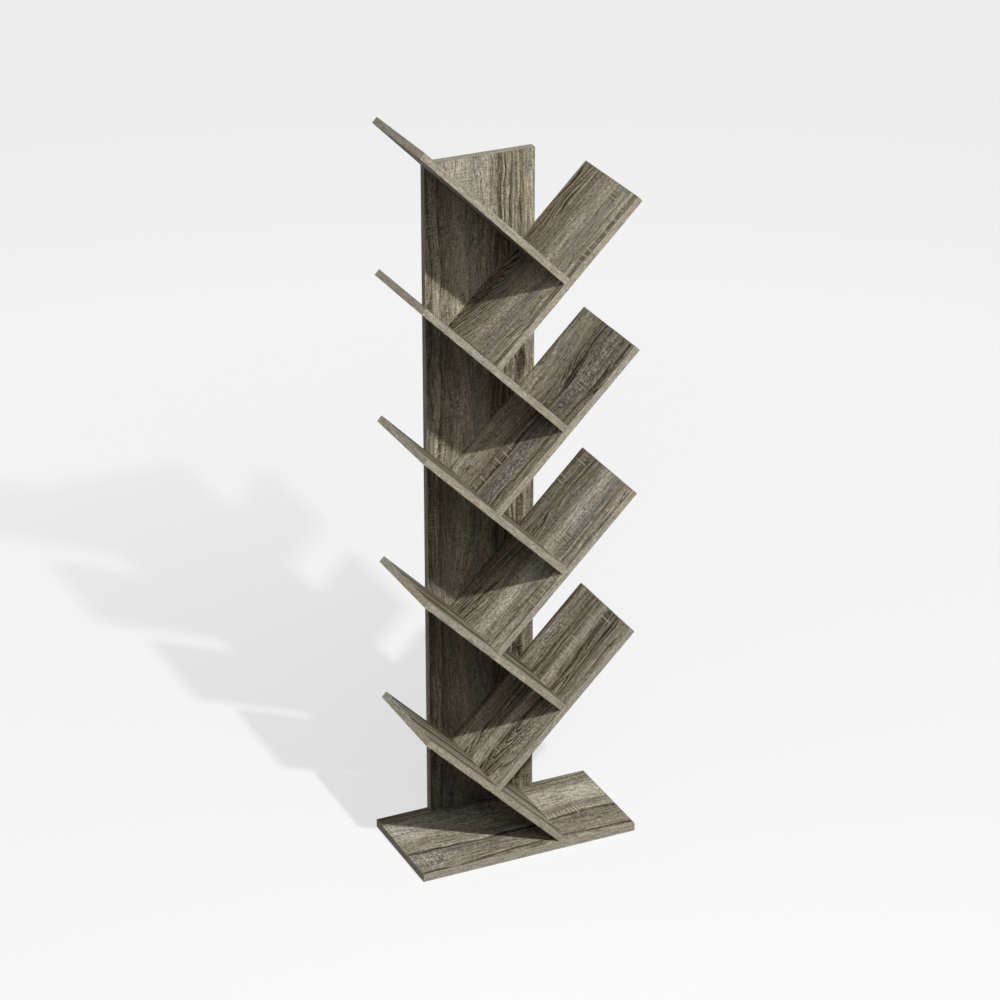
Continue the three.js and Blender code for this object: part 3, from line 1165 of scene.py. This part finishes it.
@dataclass(frozen=True)
class Screw:
    """A flat countersunk screw with a hex socket. Its head's top is at Z = 0 and it points down."""

    slot: str = "zinc_steel"
    finish: ZincSteel = ZincSteel()
    sharp: float = math.radians(32)
    length: float = 45.0
    head_radius: float = 4.5
    head_rim: float = 0.6
    head_cone: float = 2.2
    shank_radius: float = 2.5
    core_radius: float = 1.9
    plain_length: float = 9.0
    tip_length: float = 4.0
    tip_radius: float = 0.8
    socket_radius: float = 1.9
    socket_depth: float = 2.2
    socket_chamfer: float = 0.3
    socket_floor: float = 0.4
    head_softness: float = 0.15
    pitch: float = 3.0
    ridge_share: float = 0.28
    sides: int = 24
    rings_per_turn: int = 6

    @property
    def threads_from(self) -> float:
        """Depth where the thread starts."""
        return self.head_rim + self.head_cone + self.plain_length

    def thread_radius(self, turn: float, depth: float) -> float:
        """The thread's radius at an angle and a depth below the head's top.

        Args:
            turn: the angle, in radians.
            depth: the depth.

        Returns:
            The radius: a sharp ridge that winds down the core and narrows towards the tip.
        """
        phase = (depth / self.pitch - turn / (2 * math.pi)) % 1.0
        ridge = max(0.0, 1.0 - abs(phase - 0.5) / self.ridge_share)
        grown = min(1.0, max(0.0, (depth - self.threads_from) / self.pitch))
        taper = max(0.0, (depth - (self.length - self.tip_length)) / self.tip_length)
        outer = self.core_radius + grown * ridge * (self.shank_radius - self.core_radius)
        return outer + taper * (self.tip_radius - outer)

    def socket_ring(self, radius: float, depth: float) -> list[Point]:
        """The socket's hexagon at one depth, as a ring of as many points as the head's."""
        from_flats = [(turn % (math.pi / 3)) - math.pi / 6 for turn in turns(self.sides)]
        flat = radius * math.cos(math.pi / 6)
        return ring([flat / math.cos(from_flat) for from_flat in from_flats], -depth)

    def mesh(self) -> Mesh:
        """Builds the screw: threaded shank, cone, rim, and the hex socket sunk in its head."""
        span = self.length - self.threads_from
        count = round(span / (self.pitch / self.rings_per_turn))
        rings = []
        for index in range(count, -1, -1):
            depth = self.threads_from + span * index / count
            radii = [self.thread_radius(turn, depth) for turn in turns(self.sides)]
            rings.append(ring(radii, -depth))
        profile = (
            (self.core_radius, self.threads_from - 0.4),
            (self.shank_radius, self.threads_from - 1.0),
            (self.shank_radius, self.head_rim + self.head_cone),
            (self.head_radius, self.head_rim),
            (self.head_radius, self.head_softness),
            (self.head_radius - self.head_softness, 0.0),
        )
        rings += [ring([radius] * self.sides, -depth) for radius, depth in profile]
        rings.append(self.socket_ring(self.socket_radius + self.socket_chamfer, 0.0))
        rings.append(self.socket_ring(self.socket_radius, self.socket_chamfer))
        rings.append(self.socket_ring(self.socket_radius, self.socket_depth))
        point = [self.socket_radius * 0.3] * self.sides
        return tube("screw", [*rings, ring(point, -self.socket_depth - self.socket_floor)])

    def bore(self, clearance: float, above: float) -> Mesh:
        """The cutter of the screw's countersunk bore.

        Args:
            clearance: the gap round the screw.
            above: how far the cutter stands above the head.

        Returns:
            The cutter's mesh.
        """
        profile = (
            (self.tip_radius, self.length + clearance),
            (self.shank_radius, self.length - self.tip_length),
            (self.shank_radius, self.head_rim + self.head_cone),
            (self.head_radius, self.head_rim),
            (self.head_radius, -above),
        )
        rings = [ring([radius + clearance] * self.sides, -depth) for radius, depth in profile]
        return tube("screw_bore", rings)


@dataclass(frozen=True)
class Dowel:
    """A fluted beech dowel with chamfered ends. Its top is at Z = 0 and it points down."""

    slot: str = "beech"
    finish: Beech = Beech()
    sharp: float = math.radians(40)
    length: float = 28.0
    radius: float = 3.0
    chamfer: float = 1.0
    flutes: int = 12
    flute_depth: float = 0.22
    sides: int = 48

    def mesh(self) -> Mesh:
        """Builds the dowel."""
        end = [self.radius - self.chamfer] * self.sides
        hollows = [0.5 - 0.5 * math.cos(turn * self.flutes) for turn in turns(self.sides)]
        fluted = [self.radius - self.flute_depth * hollow for hollow in hollows]
        lower, upper = ring(fluted, self.chamfer - self.length), ring(fluted, -self.chamfer)
        return tube("dowel", [ring(end, -self.length), lower, upper, ring(end, 0.0)])

    def bore(self, clearance: float, _: float) -> Mesh:
        """The cutter of the dowel's bore, blind at both ends, with a gap round the dowel."""
        radii = [self.radius + clearance] * (self.sides // 2)
        return tube("dowel_bore", [ring(radii, -self.length - clearance), ring(radii, clearance)])


@dataclass(frozen=True)
class Fastener:
    """One screw or dowel: its CAD node, its kind, and its place in millimetres."""

    node: str
    kind: Screw | Dowel
    place: Matrix


class Fasteners:
    """Every screw and dowel, placed as in the solids."""

    CLEARANCE = 0.25
    OVERRUN = 5.0

    def __init__(self, layout: Layout) -> None:
        """Works out where each fastener goes."""
        self.layout = layout
        self.screw = Screw()
        self.dowel = Dowel()
        self.by_board: dict[str, list[Fastener]] = {}
        self.all: list[Fastener] = []
        for number in range(1, layout.branch_count + 1):
            self.add_branch(number)
        self.add_base()

    def add(self, node: str, kind: Screw | Dowel, place: Matrix, *boards: str) -> None:
        """Notes a fastener and the boards that it goes through.

        Args:
            node: its CAD node.
            kind: its screw or dowel.
            place: its place, in millimetres.
            boards: the nodes of its boards.
        """
        fastener = Fastener(node, kind, place)
        self.all.append(fastener)
        for board in boards:
            self.by_board.setdefault(board, []).append(fastener)

    def add_branch(self, number: int) -> None:
        """Places what holds one branch to the trunk and to the branch below it."""
        lay = self.layout
        climb = climb_of(number)
        board = branch_name(number)
        own = lay.branch_frame(number)
        middle = lay.branch_thickness / 2
        forward = Matrix.Rotation(math.radians(-90), 4, "X")
        first = lay.trunk_screw_from_end
        last = first + lay.trunk_screw_spacing
        back = lay.trunk_back - lay.head_recess
        for word, along in (("lower", first), ("upper", last)):
            place = own @ Matrix.Translation((climb * along, back, middle)) @ forward
            self.add(f"trunk_screw_{number}_{word}", self.screw, place, board, "trunk")
        inside = lay.trunk_front + lay.dowel_in_face
        place = own @ Matrix.Translation((climb * (first + last) / 2, inside, middle)) @ forward
        self.add(f"trunk_dowel_{number}", self.dowel, place, board, "trunk")
        if number == 1:
            return
        along_branch = Matrix.Rotation(math.radians(-90 * climb), 4, "Y")
        near = lay.front + lay.joint_screw_inset
        far = lay.front + lay.branch_depth - lay.joint_screw_inset
        for word, y in (("front", near), ("back", far)):
            start = Vector((-climb * (lay.end_drop - lay.head_recess), y, middle))
            place = own @ Matrix.Translation(start) @ along_branch
            below = branch_name(number - 1)
            self.add(f"joint_screw_{number}_{word}", self.screw, place, board, below)

    def add_base(self) -> None:
        """Places what rises from the base into the trunk."""
        lay = self.layout
        y = lay.trunk_back - lay.trunk_thickness / 2
        reach = lay.trunk_width / 2 - lay.base_screw_inset
        rising = Matrix.Rotation(math.pi, 4, "X")
        for word, x in (("left", -reach), ("middle", 0.0), ("right", reach)):
            place = Matrix.Translation((lay.trunk_offset + x, y, lay.head_recess)) @ rising
            self.add(f"base_screw_{word}", self.screw, place, "base", "trunk")
        start = lay.base_thickness - lay.dowel_in_face
        for word, x in (("left", -reach / 2), ("right", reach / 2)):
            place = Matrix.Translation((lay.trunk_offset + x, y, start)) @ rising
            self.add(f"base_dowel_{word}", self.dowel, place, "base", "trunk")

    def build(self) -> list[Object]:
        """Builds and dresses every fastener."""
        meshes = {}
        for kind in (self.screw, self.dowel):
            mesh = kind.mesh()
            mesh.materials.append(kind.finish.material())
            mesh.shade_smooth()
            mesh.set_sharp_from_angle(angle=kind.sharp)
            meshes[kind] = mesh
        pieces = []
        for fastener in self.all:
            mesh = meshes[fastener.kind]
            made = link_object(f"{fastener.node}_detail", mesh, metres(fastener.place))
            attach(made, BODY)
            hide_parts(fastener.node)
            pieces.append(made)
        return pieces


# Boards


class Slot(Enum):
    """Material slots of a board, by index."""

    FACE = 0
    SIDE_BAND = 1
    END_BAND = 2
    GLUE = 3
    CORE = 4


@dataclass
class Board:
    """One laminated board about its own middle: X along the grain, Y across, Z through.

    place is its middle in the shelf, in millimetres, and foot is the height that it is trimmed at,
    where it stands on one edge.
    """

    node: str
    length: float
    width: float
    thickness: float
    place: Matrix
    oak: OakPrint
    foot: float | None = None
    arris: float = 0.6
    arris_segments: int = 3
    band: float = 0.5
    glue: float = 0.12
    glue_depth: float = 0.1

    @staticmethod
    @cache
    def edge_materials() -> list[Material]:
        """The materials that every board has after its face's, in the order of the slots."""
        bands = (EdgeBand("band_side", Run.ALONG), EdgeBand("band_end", Run.ACROSS))
        return [finish.material() for finish in (*bands, GlueLine(), ChipCore())]

    def slab(self) -> BMesh:
        """The board before it is drilled: rounded arrises, bands, and glue lines on both faces."""
        bm = bmesh.new()
        bmesh.ops.create_cube(bm, size=1.0)
        size = Vector((self.length, self.width, self.thickness)) * MM
        bmesh.ops.scale(bm, vec=size, verts=bm.verts)
        rounding = {"segments": self.arris_segments, "profile": 0.5, "affect": "EDGES"}
        bmesh.ops.bevel(bm, geom=bm.edges, offset=self.arris * MM, **rounding)
        bm.normal_update()
        for face in bm.faces:
            on_end = abs(face.normal.x) > max(abs(face.normal.y), 0.3)
            face.material_index = (Slot.END_BAND if on_end else Slot.SIDE_BAND).value
        for sign in (1, -1):
            large = max(bm.faces, key=lambda face: sign * face.normal.z * face.calc_area())
            self.add_glue_line(bm, large)
        return bm

    def add_glue_line(self, bm: BMesh, face: BMFace) -> None:
        """Sinks the hairline between the band and the laminate into one large face."""
        bmesh.ops.inset_individual(bm, faces=[face], thickness=self.band * MM)
        before = set(bm.faces)
        for depth in (-self.glue_depth * MM, self.glue_depth * MM):
            half = self.glue / 2 * MM
            bmesh.ops.inset_individual(bm, faces=[face], thickness=half, depth=depth)
        for made in set(bm.faces) - before:
            made.material_index = Slot.GLUE.value
        face.material_index = Slot.FACE.value

    def trim(self, bm: BMesh) -> None:
        """Trims the board's edge level with what it stands on."""
        to_board = metres(self.place).inverted()
        level = to_board @ (Vector((0, 0, self.foot)) * MM)
        down = to_board.to_3x3() @ Vector((0, 0, -1))
        whole = [*bm.verts, *bm.edges, *bm.faces]
        plane = {"plane_co": level, "plane_no": down, "clear_outer": True}
        cut = bmesh.ops.bisect_plane(bm, geom=whole, **plane)
        rim = [part for part in cut["geom_cut"] if isinstance(part, BMEdge)]
        for face in bmesh.ops.edgeloop_fill(bm, edges=rim)["faces"]:
            face.material_index = Slot.END_BAND.value

    def drill(self, blank: Object, fasteners: list[Fastener]) -> Mesh:
        """Cuts the bores of the fasteners out of the blank.

        Args:
            blank: the undrilled board.
            fasteners: what goes through it.

        Returns:
            The drilled mesh.
        """
        bm = bmesh.new()
        for fastener in fasteners:
            cutter = fastener.kind.bore(Fasteners.CLEARANCE, Fasteners.OVERRUN)
            cutter.transform(metres(fastener.place))
            bm.from_mesh(cutter)
            bpy.data.meshes.remove(cutter)
        for face in bm.faces:
            face.material_index = Slot.CORE.value
        cutters = bpy.data.meshes.new("bores")
        bm.to_mesh(cutters)
        bm.free()
        tool = link_object("bores", cutters, Matrix.Identity(4))
        cut = blank.modifiers.new("bores", "BOOLEAN")
        cut.operation = "DIFFERENCE"
        cut.solver = "EXACT"
        cut.material_mode = "INDEX"
        cut.object = tool
        bpy.context.view_layer.update()
        graph = bpy.context.evaluated_depsgraph_get()
        drilled = bpy.data.meshes.new_from_object(blank.evaluated_get(graph))
        blank.modifiers.remove(cut)
        bpy.data.objects.remove(tool)
        bpy.data.meshes.remove(cutters)
        return drilled

    def build(self, fasteners: list[Fastener]) -> Object:
        """Builds, drills and dresses the board, for the fasteners that go through it."""
        bm = self.slab()
        if self.foot is not None:
            self.trim(bm)
        made = link_object(f"{self.node}_board", mesh_from(bm, self.node), metres(self.place))
        plain = made.data
        for material in (self.oak.material(self.length, self.width), *self.edge_materials()):
            plain.materials.append(material)
        made.data = self.drill(made, fasteners)
        bpy.data.meshes.remove(plain)
        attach(made, BODY)
        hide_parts(self.node)
        return made


class Branch(Board):
    """A branch at 45 degrees."""

    @classmethod
    def of(cls, layout: Layout, number: int, oak: OakPrint) -> "Branch":
        """The branch of one number, counted from the base. The first is trimmed to stand on it."""
        size = (layout.branch_length, layout.branch_depth, layout.branch_thickness)
        along = climb_of(number) * layout.branch_length / 2
        middle = Vector((along, layout.front + layout.branch_depth / 2, layout.branch_thickness / 2))
        place = layout.branch_frame(number) @ Matrix.Translation(middle)
        foot = layout.trunk_bottom if number == 1 else None
        return cls(branch_name(number), *size, place, oak, foot)


class Trunk(Board):
    """The tall board at the back. Its X runs up and its Y to the left."""

    @classmethod
    def of(cls, layout: Layout, oak: OakPrint) -> "Trunk":
        """The trunk, standing on the base."""
        height = layout.trunk_top - layout.trunk_bottom
        y = (layout.trunk_front + layout.trunk_back) / 2
        middle = Vector((layout.trunk_offset, y, (layout.trunk_bottom + layout.trunk_top) / 2))
        turned = Matrix(((0, -1, 0, 0), (0, 0, -1, 0), (1, 0, 0, 0), (0, 0, 0, 1)))
        place = Matrix.Translation(middle) @ turned
        return cls("trunk", height, layout.trunk_width, layout.trunk_thickness, place, oak)


class Base(Board):
    """The flat board that everything stands on."""

    @classmethod
    def of(cls, layout: Layout, oak: OakPrint) -> "Base":
        """The base, lying on the floor."""
        place = Matrix.Translation((0, 0, layout.base_thickness / 2))
        return cls("base", layout.base_width, layout.base_depth, layout.base_thickness, place, oak)


# Stage


@dataclass(frozen=True)
class Studio:
    """The pale floor, the lamps and the camera. Places are in metres."""

    camera_place: Point = (-2.364, -5.0272, 3.328)
    camera_turn: float = math.radians(25.078)
    camera_dip: float = math.radians(25.458)
    focal_share: float = 3.4315
    sensor: float = 36.0
    key_place: Point = (0.232, -2.688, 3.454)
    key_radius: float = 0.065
    key_strength: float = 34.5
    soft_place: Point = (-1.15, -3.0, 3.35)
    soft_aim: Point = (0.0, 0.0, 0.7)
    soft_width: float = 1.6
    soft_watts: float = 26.0
    fill: float = 0.02
    front_fill: float = 0.22
    front_turn: float = math.radians(42.0)
    back_fill: float = 0.15
    backdrop_near: float = 1.01
    backdrop_far: float = 0.858
    backdrop_reach: float = 4.6
    pool_centre: tuple[float, float] = (-0.245, -0.498)
    floor_radius: float = 40.0
    floor_sides: int = 96
    floor_white: float = 0.9
    floor_bounce: float = 0.1
    shadow_share: float = 0.335
    shadow_share_far: float = 0.02
    shadow_reach: float = 2.7
    white: Colour = (1.0, 1.0, 1.0, 1.0)

    def build(self) -> None:
        """Builds the floor, the light and the camera."""
        self.build_floor()
        self.build_key()
        self.build_soft_box()
        self.build_world()
        self.build_camera()

    def seen(self, w: Wiring) -> Wire:
        """1 for the rays that show the backdrop: the camera's, and those that mirror or pass."""
        kinds = ("Is Camera Ray", "Is Glossy Ray", "Is Transmission Ray")
        camera, glossy, passing = (w.made("LightPath", output=kind) for kind in kinds)
        return camera.at_least(glossy).at_least(passing)

    def build_floor(self) -> None:
        """Builds the floor. Near the shelf it keeps the shadow, far off it is plain, and its glow is a
        painted pool of light that dims away from pool_centre.
        """
        bm = bmesh.new()
        round_off = {"segments": self.floor_sides, "radius": self.floor_radius}
        bmesh.ops.create_circle(bm, cap_ends=True, **round_off)
        floor = link_object("floor", mesh_from(bm, "floor"), Matrix.Identity(4))
        material = bpy.data.materials.new("pale_floor")
        w = Wiring(emptied(material))
        x, y, _ = w.parts(w.made("TexCoord", output="Object"))
        shadow = (self.shadow_reach, self.shadow_share, self.shadow_share_far)
        share = w.remap(w.distance(x, y), 0.0, *shadow, smooth=False)
        # Painted pool of light: the floor's glow is brightest at pool_centre and dims towards
        # backdrop_far.
        from_pool = w.distance(x - self.pool_centre[0], y - self.pool_centre[1])
        backdrop = (self.backdrop_reach, self.backdrop_near, self.backdrop_far)
        level = w.remap(from_pool, 0.0, *backdrop, smooth=False)
        glow = w.made("Emission", self.white, level)
        lit = w.made("BsdfDiffuse", (*[self.floor_white] * 3, 1.0))
        shown = w.made("MixShader", share, glow, lit)
        bounce = w.made("BsdfDiffuse", (*[self.floor_bounce] * 3, 1.0))
        mixed = w.made("MixShader", self.seen(w), bounce, shown)
        w.node("OutputMaterial", mixed)
        floor.data.materials.append(material)

    def build_key(self) -> None:
        """Builds the key lamp, high in front and a little to the right, with an even reach."""
        lamp = bpy.data.lights.new("key", "POINT")
        lamp.shadow_soft_size = self.key_radius
        lamp.energy = 1.0
        lamp.use_nodes = True
        w = Wiring(lamp.node_tree)
        emission = next(node for node in lamp.node_tree.nodes if node.type == "EMISSION")
        even = w.made("LightFalloff", self.key_strength, output="Constant")
        w.fill(emission, Strength=even)
        link_object("key", lamp, Matrix.Translation(self.key_place))

    def build_soft_box(self) -> None:
        """Builds the round soft box, high in front on the left, aimed at the shelf's middle."""
        lamp = bpy.data.lights.new("soft_box", "AREA")
        lamp.shape = "DISK"
        lamp.size = self.soft_width
        lamp.energy = self.soft_watts
        place = Vector(self.soft_place)
        turn = (Vector(self.soft_aim) - place).to_track_quat("-Z", "Y").to_matrix().to_4x4()
        link_object("soft_box", lamp, Matrix.Translation(place) @ turn)

    def build_world(self) -> None:
        """Builds the world: fill light, most of it from the front left, and the backdrop."""
        world = bpy.data.worlds.new("studio")
        w = Wiring(emptied(world))
        x, y, _ = w.parts(w.made("TexCoord", output="Generated"))
        left_part = -self.front_fill * math.sin(self.front_turn)
        front_part = -self.front_fill * math.cos(self.front_turn)
        fill = (x * left_part + y * front_part).at_least(y * self.back_fill) + self.fill
        seen = self.seen(w)
        level = fill * (1.0 - seen) + seen * self.backdrop_far
        w.node("OutputWorld", w.made("Background", self.white, level))
        bpy.context.scene.world = world

    def build_camera(self) -> None:
        """Builds the camera, which looks down at the shelf from its front left."""
        data = bpy.data.cameras.new("camera")
        data.sensor_width = self.sensor
        data.lens = self.focal_share * self.sensor
        turn = Matrix.Rotation(-self.camera_turn, 4, "Z")
        dip = Matrix.Rotation(math.pi / 2 - self.camera_dip, 4, "X")
        place = Matrix.Translation(self.camera_place) @ turn @ dip
        bpy.context.scene.camera = link_object("camera", data, place)
        bpy.context.scene.view_settings.view_transform = "Standard"


def main() -> None:
    """Builds the stage, the boards and the fasteners, and reports each piece."""
    logging.basicConfig(level=logging.INFO, format="%(name)s: %(message)s")
    Studio().build()
    prints = board_prints()
    fasteners = Fasteners(LAYOUT)
    boards: list[Board] = [Base.of(LAYOUT, prints["base"]), Trunk.of(LAYOUT, prints["trunk"])]
    for number in range(1, LAYOUT.branch_count + 1):
        boards.append(Branch.of(LAYOUT, number, prints[branch_name(number)]))
    pieces = [board.build(fasteners.by_board[board.node]) for board in boards]
    for made in (*pieces, *fasteners.build()):
        REPORT.info("%s: %d faces", made.name, len(made.data.polygons))


if __name__ == "__main__":
    main()
